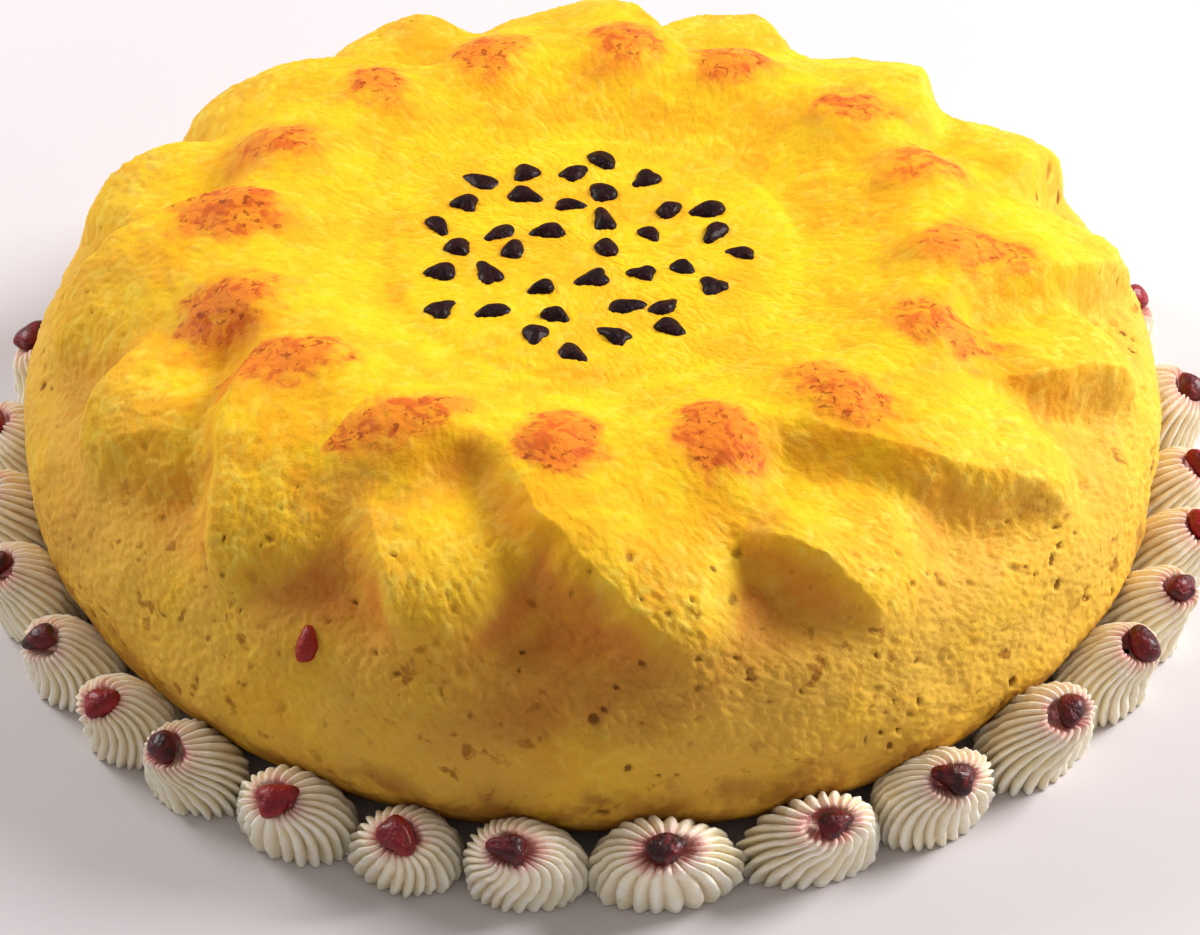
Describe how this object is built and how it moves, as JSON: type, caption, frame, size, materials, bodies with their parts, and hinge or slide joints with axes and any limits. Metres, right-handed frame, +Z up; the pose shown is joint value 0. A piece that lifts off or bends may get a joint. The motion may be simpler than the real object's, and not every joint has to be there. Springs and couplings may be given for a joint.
{
  "type": "saffron rice cake",
  "caption": "Round moulded saffron rice cake with a sunflower relief, dark barberries on its crown, and a ring of piped cream rosettes, each topped with a red barberry.",
  "frame": {"origin": "centre of the cake's base, on the surface that it stands on", "axes": "+Z up along the cake's axis; -Y is the front"},
  "size_m": [0.2586, 0.2598, 0.0688],
  "materials": {
    "rice": "moist baked saffron rice, browned in patches",
    "cream": "soft piped cream with fine ridges",
    "barberry": "glossy wrinkled berry skin"
  },
  "bodies": {
    "root": {"cake": "rice", "rosette_01": "cream", "rosette_02": "cream", "rosette_03": "cream", "rosette_04": "cream", "rosette_05": "cream", "rosette_06": "cream", "rosette_07": "cream", "rosette_08": "cream", "rosette_09": "cream", "rosette_10": "cream", "rosette_11": "cream", "rosette_12": "cream", "rosette_13": "cream", "rosette_14": "cream", "rosette_15": "cream", "rosette_16": "cream", "rosette_17": "cream", "rosette_18": "cream", "rosette_19": "cream", "rosette_20": "cream", "rosette_21": "cream", "rosette_22": "cream", "rosette_23": "cream", "rosette_24": "cream", "rosette_25": "cream", "rosette_26": "cream", "rosette_27": "cream", "rosette_28": "cream", "rosette_29": "cream", "berry_01": "barberry", "berry_02": "barberry", "berry_03": "barberry", "berry_04": "barberry", "berry_05": "barberry", "berry_06": "barberry", "berry_07": "barberry", "berry_08": "barberry", "berry_09": "barberry", "berry_10": "barberry", "berry_11": "barberry", "berry_12": "barberry", "berry_13": "barberry", "berry_14": "barberry", "berry_15": "barberry", "berry_16": "barberry", "berry_17": "barberry", "berry_18": "barberry", "berry_19": "barberry", "berry_20": "barberry", "berry_21": "barberry", "berry_22": "barberry", "berry_23": "barberry", "berry_24": "barberry", "berry_25": "barberry", "berry_26": "barberry", "berry_27": "barberry", "berry_28": "barberry", "berry_29": "barberry"}
  },
  "joints": []
}
